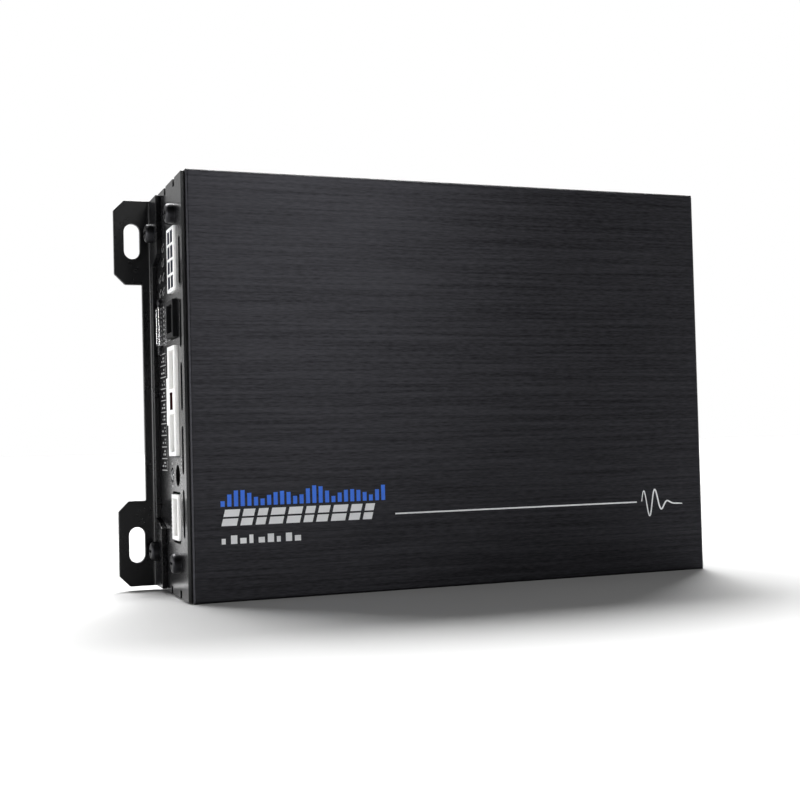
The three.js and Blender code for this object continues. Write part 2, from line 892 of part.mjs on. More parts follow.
// Power stage: amplifier chips pressed by a clamp bar on a heat spreader bonded to the front wall
const chipMiddle = faceHeight / 2;
const spreaderFront = bodyInside + seat;
const spreaderBack = spreaderFront + spreaderThickness;
const chipFront = spreaderBack + seat;
const chipBack = chipFront + chipThickness;
const chipStarts = Array.from(
  { length: chipCount },
  (_, i) => (i - (chipCount - 1) / 2) * chipSpacing,
);
const clampHalf = ((chipCount - 1) * chipSpacing + chipWidth) / 2 + clampScrewMargin;
const clampScrews = [-1, 1].map((side) => side * (clampHalf - clampScrewMargin / 2));
const clampHoles = clampScrews.map((x) => roundHole(x, chipMiddle, screwPort));
add(
  "heat_spreader",
  cut(
    block(
      [-clampHalf, spreaderFront, chipMiddle - spreaderHeight / 2],
      [clampHalf, spreaderBack, chipMiddle + spreaderHeight / 2],
    ),
    ...clampHoles.map((hole) => alongY(hole, spreaderFront - past, spreaderBack + past)),
  ),
  rawAluminium,
);
chipStarts.forEach((middle, i) => {
  const foot = chipMiddle - chipHeight / 2;
  const body = block(
    [middle - chipWidth / 2, chipFront, foot],
    [middle + chipWidth / 2, chipBack, foot + chipHeight],
  );
  const half = leadWidth / 2;
  const leadY = (chipFront + chipBack) / 2;
  const leads = Array.from({ length: chipLeads }, (_, n) => {
    const x = middle + (n - (chipLeads - 1) / 2) * leadPitch;
    return join(
      block([x - half, leadY - half, foot - leadDrop], [x + half, leadY + half, foot + past]),
      block(
        [x - half, leadY - half, foot - leadDrop],
        [x + half, standsOn, foot - leadDrop + leadWidth],
      ),
    );
  });
  add("amplifier_chip_" + (i + 1), join(body, ...leads), blackPlastic);
});
const clampFront = chipBack + seat;
const clampBack = clampFront + clampThickness;
add(
  "clamp_bar",
  cut(
    block(
      [-clampHalf, clampFront, chipMiddle - clampHeight / 2],
      [clampHalf, clampBack, chipMiddle + clampHeight / 2],
    ),
    ...clampHoles.map((hole) => alongY(hole, clampFront - past, clampBack + past)),
  ),
  brightSteel,
);
clampScrews.forEach((x, i) => {
  const profile = [
    [0, spreaderFront + seat],
    [screwShank / 2, spreaderFront + seat],
    [screwShank / 2, clampBack + seat],
    [screwHead / 2, clampBack + seat],
    [screwHead / 2, clampBack + seat + clampThickness],
    [0, clampBack + seat + clampThickness],
  ];
  add("clamp_screw_" + (i + 1), turnedY(profile, x, chipMiddle, 16), brightSteel);
});

// Room on the main board between the screw bosses, from one Z to another
const bossReach = frontScrewEdge + screwPort / 2 + bossWall;
const [roomFoot, roomTop] = [bossReach + partGap, faceHeight - bossReach - partGap];

// Reservoir capacitors in a row beside the power header
const capacitorRow = roomTop - capacitorWidth / 2;
for (let i = 0; i < capacitorCount; i++) {
  const firstMiddle = left + boardEndGap + headerLength + capacitorWidth;
  const x = firstMiddle + i * (capacitorWidth + capacitorGap);
  const radius = capacitorWidth / 2;
  const top = standsOn - capacitorLength;
  const profile = [
    [0, top],
    [radius - capacitorRim, top],
    [radius, top + capacitorRim],
    [radius, standsOn],
    [0, standsOn],
  ];
  add("reservoir_capacitor_" + (i + 1), turnedY(profile, x, capacitorRow), sleeve);
}

// Wound rings: the supply choke above the chips and the output inductors below them
function woundRing(width, hole, thickness, x, z, segments) {
  const middle = (width + hole) / 4;
  const half = (width - hole) / 4;
  const corner = Math.min(half, thickness / 2) * ringCorner;
  const section = [
    [half, corner - thickness / 2],
    [half, thickness / 2 - corner],
    [half - corner, thickness / 2],
    [corner - half, thickness / 2],
    [-half, thickness / 2 - corner],
    [-half, corner - thickness / 2],
    [corner - half, -thickness / 2],
    [half - corner, -thickness / 2],
    [half, corner - thickness / 2],
  ];
  const profile = section.map(([out, along]) => [middle + out, standsOn - thickness / 2 + along]);
  return turnedY(profile, x, z, segments);
}
add(
  "supply_choke",
  woundRing(chokeWidth, chokeHole, chokeThickness, chipStarts[1], roomTop - chokeWidth / 2, 24),
  copperWire,
);
for (let i = 0; i < inductorCount; i++) {
  const x = (i - (inductorCount - 1) / 2) * (inductorWidth + inductorGap);
  const z = roomFoot + inductorWidth / 2;
  const ring = woundRing(inductorWidth, inductorHole, inductorThickness, x, z, 16);
  add("output_inductor_" + (i + 1), ring, copperWire);
}

// Supply transformer near the far end of the board
const transformerEnd = right - boardEndGap - transformerMargin;
const core = block(
  [transformerEnd - transformerLength, standsOn - transformerDepth, chipMiddle - transformerHeight / 2],
  [transformerEnd, standsOn, chipMiddle + transformerHeight / 2],
);
const windowX = transformerEnd - transformerLength / 2;
const coreWindows = [-1, 1].map((side) => {
  const x = windowX + (side * windowSpacing) / 2;
  return block(
    [x - windowWidth / 2, standsOn - transformerDepth - past, chipMiddle - windowHeight / 2],
    [x + windowWidth / 2, standsOn - coreBack, chipMiddle + windowHeight / 2],
  );
});
add("supply_transformer", cut(core, ...coreWindows), ferrite);

// Signal processor on the back of the signal board, and the header that links the two boards
const signalMiddle = left + signalStart + signalLength / 2;
const signalBack = signalBoard + boardThickness;
add(
  "signal_processor_chip",
  block(
    [signalMiddle - processorSize / 2, signalBack + seat, chipMiddle - processorSize / 2],
    [
      signalMiddle + processorSize / 2,
      signalBack + seat + processorThickness,
      chipMiddle + processorSize / 2,
    ],
  ),
  blackPlastic,
);
add(
  "board_link_header",
  block(
    [signalMiddle - linkWidth / 2, boardBack + seat, chipMiddle - linkLength / 2],
    [signalMiddle + linkWidth / 2, signalBoard - seat, chipMiddle + linkLength / 2],
  ),
  blackPlastic,
);

export default amplifier;
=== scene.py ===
import json
import math

import bmesh
import bpy
import numpy as np
from mathutils import Euler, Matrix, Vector

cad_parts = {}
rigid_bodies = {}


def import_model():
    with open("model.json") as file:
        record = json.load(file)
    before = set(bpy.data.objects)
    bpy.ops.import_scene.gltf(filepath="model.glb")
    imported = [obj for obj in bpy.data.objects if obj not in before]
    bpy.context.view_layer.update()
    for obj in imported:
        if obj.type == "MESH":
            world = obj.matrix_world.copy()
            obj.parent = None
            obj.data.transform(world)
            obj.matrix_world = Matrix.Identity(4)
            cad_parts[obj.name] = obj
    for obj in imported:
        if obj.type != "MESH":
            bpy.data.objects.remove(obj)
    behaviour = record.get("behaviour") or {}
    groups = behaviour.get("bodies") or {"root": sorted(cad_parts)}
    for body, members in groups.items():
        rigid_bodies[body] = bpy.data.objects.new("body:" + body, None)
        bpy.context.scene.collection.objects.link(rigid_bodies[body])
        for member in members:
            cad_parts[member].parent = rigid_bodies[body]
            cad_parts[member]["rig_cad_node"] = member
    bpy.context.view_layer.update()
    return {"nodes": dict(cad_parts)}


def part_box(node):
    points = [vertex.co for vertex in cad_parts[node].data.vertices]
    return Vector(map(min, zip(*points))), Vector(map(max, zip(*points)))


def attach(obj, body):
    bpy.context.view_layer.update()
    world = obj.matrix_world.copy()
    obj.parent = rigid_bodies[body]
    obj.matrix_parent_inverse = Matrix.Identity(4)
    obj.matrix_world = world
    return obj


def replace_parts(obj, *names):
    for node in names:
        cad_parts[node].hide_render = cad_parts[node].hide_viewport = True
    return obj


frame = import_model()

# Heat sink: the one-piece extrusion, open at the back, that carries every other part.
# Black anodised aluminium, sawn to length, with three cooling grooves along each long side and
# its sharp edges broken. The board slides into its side rails.
MM = 0.001


def put(tree, kind, inputs=(), **settings):
    """A shader node of that kind; a socket given as an input is linked, anything else is its value."""
    made = tree.nodes.new("ShaderNode" + kind)
    for key, value in settings.items():
        setattr(made, key, value)
    for key, value in dict(inputs).items():
        if isinstance(value, bpy.types.NodeSocket):
            tree.links.new(value, made.inputs[key])
        else:
            made.inputs[key].default_value = value
    return made


def effect(name, takes, gives):
    """A node group with named inputs and outputs: gives back its tree and its inner sockets."""
    tree = bpy.data.node_groups.new(name, "ShaderNodeTree")
    for label, value in takes.items():
        kind = "NodeSocketVector" if isinstance(value, tuple) else "NodeSocketFloat"
        socket = tree.interface.new_socket(label, in_out="INPUT", socket_type=kind)
        socket.default_value = value
    for label in gives:
        tree.interface.new_socket(label, in_out="OUTPUT", socket_type="NodeSocketFloat")
    return tree, tree.nodes.new("NodeGroupInput").outputs, tree.nodes.new("NodeGroupOutput").inputs


def grain_effect():
    """Noise stretched to so many cells a metre along X, Y and Z, spread to the range 0 to 1."""
    tree, takes, gives = effect("surface grain", {"Cells": (500.0,) * 3, "Detail": 3.0}, ["Value"])
    place = put(tree, "TexCoord").outputs["Object"]
    cells = put(tree, "VectorMath", {0: place, 1: takes["Cells"]}, operation="MULTIPLY")
    noise = put(tree, "TexNoise", {"Vector": cells.outputs[0], "Scale": 1.0, "Detail": takes["Detail"]})
    spread = put(
        tree, "MapRange", {"Value": noise.outputs["Fac"], "From Min": 0.28, "From Max": 0.72}
    )
    tree.links.new(spread.outputs["Result"], gives["Value"])
    return tree


def edge_effect():
    """One less the agreement of the true normal with one rounded over Reach, in patches: worn edges."""
    tree, takes, gives = effect("worn edge", {"Reach": 0.0003, "Wear": 1.0}, ["Mask"])
    rounded = put(tree, "Bevel", {"Radius": takes["Reach"]}, samples=4)
    flat = put(tree, "NewGeometry")
    agree = put(
        tree,
        "VectorMath",
        {0: rounded.outputs["Normal"], 1: flat.outputs["Normal"]},
        operation="DOT_PRODUCT",
    )
    turned = put(
        tree,
        "MapRange",
        {"Value": agree.outputs["Value"], "From Min": 0.995, "From Max": 0.8, "To Max": 1.0},
    )
    place = put(tree, "TexCoord").outputs["Object"]
    patches = put(tree, "TexNoise", {"Vector": place, "Scale": 420.0, "Detail": 4.0})
    worn = put(
        tree, "MapRange", {"Value": patches.outputs["Fac"], "From Min": 0.3, "From Max": 0.6}
    )
    both = put(
        tree, "Math", {0: turned.outputs["Result"], 1: worn.outputs["Result"]}, operation="MULTIPLY"
    )
    mask = put(
        tree, "Math", {0: both.outputs[0], 1: takes["Wear"]}, operation="MULTIPLY", use_clamp=True
    )
    tree.links.new(mask.outputs[0], gives["Mask"])
    return tree


def dust_effect():
    """Fine specks on what faces up, as thick as Amount."""
    tree, takes, gives = effect("settled dust", {"Amount": 0.2}, ["Mask"])
    normal = put(tree, "NewGeometry").outputs["Normal"]
    rise = put(tree, "SeparateXYZ", {0: normal}).outputs["Z"]
    upward = put(tree, "MapRange", {"Value": rise, "From Min": 0.2, "From Max": 1.0})
    place = put(tree, "TexCoord").outputs["Object"]
    specks = put(tree, "TexNoise", {"Vector": place, "Scale": 1500.0, "Detail": 5.0})
    sharp = put(
        tree, "MapRange", {"Value": specks.outputs["Fac"], "From Min": 0.42, "From Max": 0.7}
    )
    lying = put(
        tree, "Math", {0: upward.outputs["Result"], 1: sharp.outputs["Result"]}, operation="MULTIPLY"
    )
    mask = put(tree, "Math", {0: lying.outputs[0], 1: takes["Amount"]}, operation="MULTIPLY")
    tree.links.new(mask.outputs[0], gives["Mask"])
    return tree


grain, worn_edge, settled_dust = grain_effect(), edge_effect(), dust_effect()


def finish(name, tones, rough, metal, fine, broad, depth, edge=None, dust=0.1, **sockets):
    """A surface finish. Its colour runs between two tones, and its roughness between two values, with a
    fine and a broad grain; the fine one also stands up by depth metres. edge is the colour, reach and
    strength of worn edges."""
    made = bpy.data.materials.new(name)
    made.use_nodes = True
    tree = made.node_tree
    shader = tree.nodes["Principled BSDF"]
    shader.inputs["Metallic"].default_value = metal
    for key, value in sockets.items():
        shader.inputs[key.replace("_", " ")].default_value = value

    def placed(group, **inputs):
        node = tree.nodes.new("ShaderNodeGroup")
        node.node_tree = group
        for key, value in inputs.items():
            node.inputs[key].default_value = value
        return node.outputs[0]

    small = placed(grain, Cells=fine, Detail=3.0)
    large = placed(grain, Cells=broad, Detail=4.0)
    half = put(tree, "Math", {0: small, 1: 0.5}, operation="MULTIPLY").outputs[0]
    both = put(tree, "Math", {0: large, 1: 0.5, 2: half}, operation="MULTIPLY_ADD").outputs[0]
    colour = put(
        tree,
        "Mix",
        {0: both, 6: (*tones[0], 1.0), 7: (*tones[1], 1.0)},
        data_type="RGBA",
    ).outputs[2]
    gloss = put(
        tree, "MapRange", {"Value": both, "To Min": rough[0], "To Max": rough[1]}
    ).outputs["Result"]
    if edge:
        mask = placed(worn_edge, Reach=edge[1], Wear=edge[2])
        colour = put(
            tree, "Mix", {0: mask, 6: colour, 7: (*edge[0], 1.0)}, data_type="RGBA"
        ).outputs[2]
    if dust:
        lying = placed(settled_dust, Amount=dust)
        colour = put(
            tree, "Mix", {0: lying, 6: colour, 7: (0.32, 0.31, 0.29, 1.0)}, data_type="RGBA"
        ).outputs[2]
        gloss = put(
            tree, "Mix", {0: lying, 2: gloss, 3: 0.9}, data_type="FLOAT"
        ).outputs[0]
    tree.links.new(colour, shader.inputs["Base Color"])
    tree.links.new(gloss, shader.inputs["Roughness"])
    bump = put(tree, "Bump", {"Strength": 1.0, "Distance": depth, "Height": small})
    tree.links.new(bump.outputs["Normal"], shader.inputs["Normal"])
    return made


def dress(piece, material, body="chassis"):
    """Gives a piece its finish and, if it is a new piece, its body."""
    piece.data.materials.clear()
    piece.data.materials.append(material)
    if "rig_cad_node" not in piece:
        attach(piece, body)
    return piece


def rounded_copy(node, name, rounding, steps=2, limit=30, shift=None, split=True):
    """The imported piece's shape with its doubled corners merged, its flat triangles joined and its sharp
    edges rounded by so many metres. shift moves the corners first; split cuts faces of many sides again."""
    shape = bmesh.new()
    shape.from_mesh(frame["nodes"][node].data)
    bmesh.ops.remove_doubles(shape, verts=shape.verts, dist=1e-6)
    bmesh.ops.dissolve_limit(
        shape, angle_limit=math.radians(0.5), verts=shape.verts, edges=shape.edges
    )
    if split:
        bmesh.ops.triangulate(shape, faces=[face for face in shape.faces if len(face.verts) > 4])
    if shift:
        for corner in shape.verts:
            corner.co = shift(corner.co)
    mesh = bpy.data.meshes.new(name)
    shape.to_mesh(mesh)
    shape.free()
    if "custom_normal" in mesh.attributes:
        mesh.attributes.remove(mesh.attributes["custom_normal"])
    mesh.shade_smooth()
    piece = bpy.data.objects.new(name, mesh)
    bpy.context.scene.collection.objects.link(piece)
    rounder = piece.modifiers.new("broken edges", "BEVEL")
    rounder.width, rounder.segments = rounding, steps
    rounder.limit_method, rounder.angle_limit = "ANGLE", math.radians(limit)
    rounder.harden_normals = True
    rounder.miter_outer = "MITER_ARC"
    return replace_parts(piece, node)


anodised = finish(
    "black anodised aluminium",
    tones=[(0.006, 0.006, 0.007), (0.012, 0.012, 0.014)],
    rough=(0.36, 0.55),
    metal=0.85,
    fine=(60.0, 9000.0, 9000.0),
    broad=(14.0, 260.0, 260.0),
    depth=4e-6,
    edge=((0.1, 0.1, 0.105), 0.00025, 0.4),
    dust=0.02,
)
heat_sink = rounded_copy("heatsink_body", "heat_sink", 0.22 * MM)
dress(heat_sink, anodised)

# Power stage: two amplifier chips pressed on a milled heat spreader by a steel bar and two screws.
# The spreader is bare aluminium and the chips are moulded in black epoxy. It is bonded inside the
# front wall of the heat sink.
milled = finish(
    "milled aluminium",
    tones=[(0.42, 0.43, 0.44), (0.6, 0.61, 0.62)],
    rough=(0.28, 0.45),
    metal=1.0,
    fine=(4000.0, 4000.0, 120.0),
    broad=(120.0, 120.0, 30.0),
    depth=4e-6,
    dust=0.0,
)
plated_steel = finish(
    "nickel plated steel",
    tones=[(0.55, 0.55, 0.56), (0.72, 0.72, 0.73)],
    rough=(0.14, 0.3),
    metal=1.0,
    fine=(2600.0, 2600.0, 2600.0),
    broad=(160.0, 160.0, 160.0),
    depth=2e-6,
)
moulded_black = finish(
    "black moulded plastic",
    tones=[(0.006, 0.006, 0.007), (0.014, 0.014, 0.015)],
    rough=(0.35, 0.5),
    metal=0.0,
    fine=(5200.0, 5200.0, 5200.0),
    broad=(300.0, 300.0, 300.0),
    depth=6e-6,
)
nodes = frame["nodes"]
dress(nodes["heat_spreader"], milled)
for chip in ("amplifier_chip_1", "amplifier_chip_2"):
    dress(nodes[chip], moulded_black)
for piece in ("clamp_bar", "clamp_screw_1", "clamp_screw_2"):
    dress(nodes[piece], plated_steel)

# Main board with its reservoir capacitors, wound rings and transformer. Glass-filled board under
# green solder mask, aluminium cans in printed sleeves, enamelled copper wire and grey ferrite,
# all soldered to the side that faces the front.
solder_mask = finish(
    "green solder mask",
    tones=[(0.006, 0.045, 0.02), (0.012, 0.085, 0.038)],
    rough=(0.22, 0.4),
    metal=0.0,
    fine=(2400.0, 300.0, 900.0),
    broad=(260.0, 60.0, 90.0),
    depth=8e-6,
    dust=0.0,
)
sleeve = finish(
    "capacitor sleeve",
    tones=[(0.008, 0.018, 0.06), (0.014, 0.03, 0.09)],
    rough=(0.2, 0.34),
    metal=0.0,
    fine=(1200.0, 1200.0, 1200.0),
    broad=(200.0, 200.0, 200.0),
    depth=4e-6,
    dust=0.0,
)
enamelled_copper = finish(
    "enamelled copper wire",
    tones=[(0.25, 0.07, 0.018), (0.5, 0.17, 0.05)],
    rough=(0.2, 0.36),
    metal=1.0,
    fine=(1100.0, 1100.0, 1100.0),
    broad=(260.0, 260.0, 260.0),
    depth=1.2e-4,
    dust=0.0,
)
ferrite = finish(
    "sintered ferrite",
    tones=[(0.02, 0.02, 0.021), (0.045, 0.045, 0.047)],
    rough=(0.5, 0.7),
    metal=0.0,
    fine=(3600.0, 3600.0, 3600.0),
    broad=(300.0, 300.0, 300.0),
    depth=1.2e-5,
    dust=0.0,
)
dress(nodes["main_circuit_board"], solder_mask)
for number in (1, 2, 3):
    dress(nodes[f"reservoir_capacitor_{number}"], sleeve)
for ring in ("supply_choke", *[f"output_inductor_{number}" for number in (1, 2, 3, 4)]):
    dress(nodes[ring], enamelled_copper)
dress(nodes["supply_transformer"], ferrite)

# Power header: a white nylon housing with eight square contact holes in two columns, and a tinned
# pin in each. It is soldered to the board by its far end and looks out through the end plate.
nylon = finish(
    "white nylon",
    tones=[(0.82, 0.82, 0.81), (0.9, 0.9, 0.89)],
    rough=(0.32, 0.46),
    metal=0.0,
    fine=(2600.0, 2600.0, 2600.0),
    broad=(240.0, 240.0, 240.0),
    depth=3e-6,
    dust=0.0,
    Subsurface_Weight=0.9,
    Subsurface_Radius=(1.0, 0.98, 0.96),
    Subsurface_Scale=3.0 * MM,
)
tinned = finish(
    "tinned brass",
    tones=[(0.52, 0.47, 0.36), (0.75, 0.71, 0.62)],
    rough=(0.18, 0.32),
    metal=1.0,
    fine=(3000.0, 3000.0, 3000.0),
    broad=(500.0, 500.0, 500.0),
    depth=3e-6,
    dust=0.0,
)


def new_piece(name, corners, faces):
    """A closed mesh from corner places in metres, with its faces turned outwards."""
    mesh = bpy.data.meshes.new(name)
    mesh.from_pydata(np.asarray(corners).tolist(), [], [list(face) for face in faces])
    shape = bmesh.new()
    shape.from_mesh(mesh)
    bmesh.ops.remove_doubles(shape, verts=shape.verts, dist=1e-8)
    bmesh.ops.recalc_face_normals(shape, faces=shape.faces)
    shape.to_mesh(mesh)
    shape.free()
    mesh.validate()
    piece = bpy.data.objects.new(name, mesh)
    bpy.context.scene.collection.objects.link(piece)
    return piece


def pins(name, places, start, tip, width, taper):
    """Square pins along X: at each (y, z) place three rings of four corners, full width from start to
    taper short of the tip and about a third of it at the tip, joined ring to ring and capped."""
    places = np.asarray(places)
    stations = np.array([start, tip + taper, tip])
    tip_share = 0.36
    halves = np.array([1.0, 1.0, tip_share]) * width / 2
    square = np.array([(-1, -1), (1, -1), (1, 1), (-1, 1)])
    count, rings = len(places), len(stations)
    across = places[:, None, None, :] + halves[None, :, None, None] * square[None, None, :, :]
    along = np.broadcast_to(stations[None, :, None, None], (count, rings, 4, 1))
    corners = np.concatenate([along, across], axis=-1).reshape(-1, 3)
    number = np.arange(count * rings * 4).reshape(count, rings, 4)
    side = np.stack(
        [number[:, :-1], number[:, 1:], np.roll(number, -1, 2)[:, 1:], np.roll(number, -1, 2)[:, :-1]],
        axis=-1,
    ).reshape(-1, 4)
    caps = np.concatenate([number[:, 0, ::-1], number[:, -1]])
    return new_piece(name, corners * MM, np.concatenate([side, caps]))


def middle(node):
    """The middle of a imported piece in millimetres."""
    low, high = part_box(node)
    return np.array((low + high) / 2) / MM


def reach(node, axis):
    """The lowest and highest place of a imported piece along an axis, in millimetres."""
    low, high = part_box(node)
    return low[axis] / MM, high[axis] / MM


power_pitch = 4.2
header_floor = 3.0
power_pin_depth, power_pin_width, power_pin_taper = 3.0, 1.1, 0.9
outer_skin = 0.1 * MM
# Painted shade: the walls inside the contact holes take a dark blue-grey in place of the white nylon, for
# the shade deep in the holes.
painted_hole_shade = finish(
    "painted shade inside the contact holes",
    tones=[(0.035, 0.04, 0.065), (0.07, 0.075, 0.1)],
    rough=(0.5, 0.7),
    metal=0.0,
    fine=(2600.0, 2600.0, 2600.0),
    broad=(240.0, 240.0, 240.0),
    depth=3e-6,
    dust=0.0,
)
power_socket = rounded_copy("power_header", "power_socket", 0.18 * MM)
dress(power_socket, nylon)
power_socket.data.materials.append(painted_hole_shade)
low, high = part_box("power_header")
# Faces inside the housing's box, away from its outer skin, take the painted shade.
for face in power_socket.data.polygons:
    spot = face.center
    inside = all(low[axis] + outer_skin < spot[axis] < high[axis] - outer_skin for axis in range(3))
    face.material_index = int(inside)
_, power_y, power_z = middle("power_header")
power_places = [
    (power_y + (column - 0.5) * power_pitch, power_z + (row - 1.5) * power_pitch)
    for row in range(4)
    for column in range(2)
]
header_front, header_end = reach("power_header", 0)
power_pins = pins(
    "power_pins",
    power_places,
    header_end - header_floor,
    header_front + power_pin_depth,
    power_pin_width,
    power_pin_taper,
)
dress(power_pins, tinned)

# Harness header: a white nylon housing of two open sockets with a boss between them, in which a
# dark red lock slides. Its pins stand in two columns on the floor of each socket.
dark_red = finish(
    "dark red lock",
    tones=[(0.022, 0.0006, 0.0012), (0.045, 0.0015, 0.003)],
    rough=(0.45, 0.6),
    metal=0.0,
    fine=(3000.0, 3000.0, 3000.0),
    broad=(300.0, 300.0, 300.0),
    depth=4e-6,
    dust=0.0,
    Specular_IOR_Level=0.2,
)
harness_socket = rounded_copy("harness_header", "harness_socket", 0.2 * MM)
dress(harness_socket, nylon)
dress(rounded_copy("harness_lock", "harness_slide", 0.15 * MM), dark_red)
# Painted shade: the walls of the lock window in the white housing take the lock's dark red, for the shade in
# the window.
harness_socket.data.materials.append(dark_red)
lock_z = middle("harness_lock")[2]
lock_reach, boss_share = 3.0, 0.1
low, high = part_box("harness_header")
boss_side = high.y - boss_share * (high.y - low.y)
for face in harness_socket.data.polygons:
    spot = face.center
    inside = all(low[axis] + outer_skin < spot[axis] < high[axis] - outer_skin for axis in range(2))
    beside_lock = abs(spot.z / MM - lock_z) < lock_reach
    face.material_index = int(inside and beside_lock and spot.y < boss_side)
first_row, row_pitch = 6.4, 2.6
harness_pin_depth, signal_pin_width, signal_pin_taper = 4.0, 0.8, 0.7
header_front, header_end = reach("harness_header", 0)
harness_places = [
    (power_y + (column - 0.5) * power_pitch, lock_z + side * (first_row + row * row_pitch))
    for side in (-1, 1)
    for row in range(4)
    for column in range(2)
]
harness_pins = pins(
    "harness_pins",
    harness_places,
    header_end - header_floor,
    header_front + harness_pin_depth,
    signal_pin_width,
    signal_pin_taper,
)
dress(harness_pins, tinned)

# Remote header: a small white nylon socket with a keying rib and six tinned pins. It is soldered to
# the board below the gain control and looks out through the end plate.
remote_columns, remote_rows, remote_drop, remote_pin_depth = 3.8, 3.3, 0.6, 3.5
dress(rounded_copy("remote_header", "remote_socket", 0.2 * MM), nylon)
_, remote_y, remote_z = middle("remote_header")
header_front, header_end = reach("remote_header", 0)
remote_places = [
    (remote_y + (column - 0.5) * remote_columns, remote_z - remote_drop + (row - 1) * remote_rows)
    for row in range(3)
    for column in range(2)
]
remote_pins = pins(
    "remote_pins",
    remote_places,
    header_end - header_floor,
    header_front + remote_pin_depth,
    signal_pin_width,
    signal_pin_taper,
)
dress(remote_pins, tinned)

# Optical port: a square black housing with a hinged shutter in its mouth and the receiver at its
# far end. All three are moulded in black plastic; the shutter turns inwards when a plug goes in.
port_black = finish(
    "matt black port plastic",
    tones=[(0.003, 0.003, 0.0035), (0.008, 0.008, 0.009)],
    rough=(0.5, 0.65),
    metal=0.0,
    fine=(5200.0, 5200.0, 5200.0),
    broad=(300.0, 300.0, 300.0),
    depth=8e-6,
    Specular_IOR_Level=0.12,
)
optical_housing = rounded_copy("optical_port_housing", "optical_housing", 0.25 * MM)
dress(optical_housing, port_black)
optical_flap = rounded_copy("optical_shutter", "optical_flap", 0.12 * MM)
dress(optical_flap, port_black, "optical_flap")
dress(nodes["optical_receiver"], moulded_black)

# Gain control: a black moulded shaft with a screwdriver slot across its end. It turns in a moulded
# body that is soldered to the board behind the end plate.
shaft_radius, spindle_radius, shaft_dome, body_gap = 2.4, 1.5, 0.5, 0.3
shaft_slot = (1, 0.8, 9, 1.1)


def turned(name, node, outline, start, out, recess=(0, 0, 0, 0), turns=72):
    """A turned piece: each (radius, height) of its outline goes round an axis that leaves start in the
    direction out. recess is a number of crossed slots, and their width, reach and depth: the height drops by
    the depth where the nearer of the two distances across is under half the width and the farther is under
    the reach, eased over a tenth of a millimetre."""
    radius, height = np.asarray(outline, float).T
    angle = np.linspace(0, 2 * np.pi, turns, endpoint=False)
    across, up = radius[:, None] * np.cos(angle), radius[:, None] * np.sin(angle)
    arms, width, far, depth = recess
    wide, long = np.abs(across), np.abs(up)
    ease = 0.1
    inside = [
        np.clip((width / 2 - a) / ease + 1, 0, 1) * np.clip((far - b) / ease + 1, 0, 1)
        for a, b in ((wide, long), (long, wide))
    ][:arms]
    on_top = (np.gradient(radius) > 0)[:, None]
    drop = depth * np.max(inside, axis=0) * on_top if arms else 0.0
    out = np.asarray(out, float)
    first = np.array([0.0, 1.0, 0.0]) if abs(out[0]) > 0.5 else np.array([1.0, 0.0, 0.0])
    second = np.array([0.0, 0.0, 1.0])
    along = height[:, None] - drop
    corners = (
        np.asarray(start, float)
        + along[..., None] * out
        + across[..., None] * first
        + up[..., None] * second
    )
    number = np.arange(corners.shape[0] * turns).reshape(-1, turns)
    beside = np.roll(number, -1, 1)
    faces = np.stack([number[:-1], number[1:], beside[1:], beside[:-1]], axis=-1).reshape(-1, 4)
    piece = new_piece(name, corners.reshape(-1, 3) * MM, faces)
    piece.data.shade_smooth()
    piece.data.set_sharp_from_angle(angle=math.radians(35))
    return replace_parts(piece, node)


def domed(width, height, power, rings=24):
    """The outline of a head from its middle out to its rim: the powers of radius and height, each as a
    share of its own greatest value, add up to one."""
    shoulder, rim_rings = 0.88, 9
    inner = np.linspace(0, shoulder, rings)
    lean = np.linspace(np.arcsin(shoulder ** (power / 2)), np.pi / 2, rim_rings)[1:]
    share = np.concatenate([inner, np.sin(lean) ** (2 / power)])
    high = np.concatenate([(1 - inner**power) ** (1 / power), np.cos(lean) ** (2 / power)])
    return np.column_stack([share * width / 2, np.clip(high, 0, 1) * height])


dress(nodes["gain_control_body"], moulded_black)
shaft_tip, shaft_end = reach("gain_control_shaft", 0)
_, gain_y, gain_z = middle("gain_control_shaft")
neck = shaft_tip - (reach("gain_control_body", 0)[0] - body_gap)
foot = shaft_tip - shaft_end
shaft_outline = np.concatenate(
    [
        domed(2 * shaft_radius, shaft_dome, 6.0) - (0, shaft_dome),
        [(shaft_radius, neck), (spindle_radius, neck), (spindle_radius, foot), (0, foot)],
    ]
)
gain_shaft = turned(
    "gain_shaft",
    "gain_control_shaft",
    shaft_outline,
    (shaft_tip, gain_y, gain_z),
    (-1, 0, 0),
    shaft_slot,
)
dress(gain_shaft, moulded_black, "gain_control")

# Status light: a light-emitting diode moulded in clear resin, with a domed front. It stands on the
# board and looks out through a round hole in the end plate.
lens = finish(
    "pale clear lens",
    tones=[(0.16, 0.17, 0.18), (0.24, 0.25, 0.26)],
    rough=(0.05, 0.12),
    metal=0.0,
    fine=(900.0, 900.0, 900.0),
    broad=(200.0, 200.0, 200.0),
    depth=2e-6,
    dust=0.0,
    Transmission_Weight=0.6,
    IOR=1.5,
)
light_front, light_end = reach("status_light", 0)
_, light_y, light_z = middle("status_light")
lens_radius, lens_dome = 1.85, 0.95
lens_foot = light_front - light_end
lens_outline = np.concatenate(
    [
        domed(2 * lens_radius, lens_dome, 2.4) - (0, lens_dome),
        [(lens_radius, lens_foot), (0, lens_foot)],
    ]
)
status_lens = turned(
    "status_lens", "status_light", lens_outline, (light_front, light_y, light_z), (-1, 0, 0)
)
dress(status_lens, lens)

# Signal board behind the main board: green solder mask, four plated spacers, the processor chip
# and the header that links the boards. The data port stands on its front edge.
dress(nodes["signal_board"], solder_mask)
for number in (1, 2, 3, 4):
    dress(nodes[f"board_spacer_{number}"], plated_steel)
for piece in ("signal_processor_chip", "board_link_header", "data_port_tongue"):
    dress(nodes[piece], moulded_black)
dress(rounded_copy("data_port_shell", "data_port_case", 0.2 * MM), plated_steel)

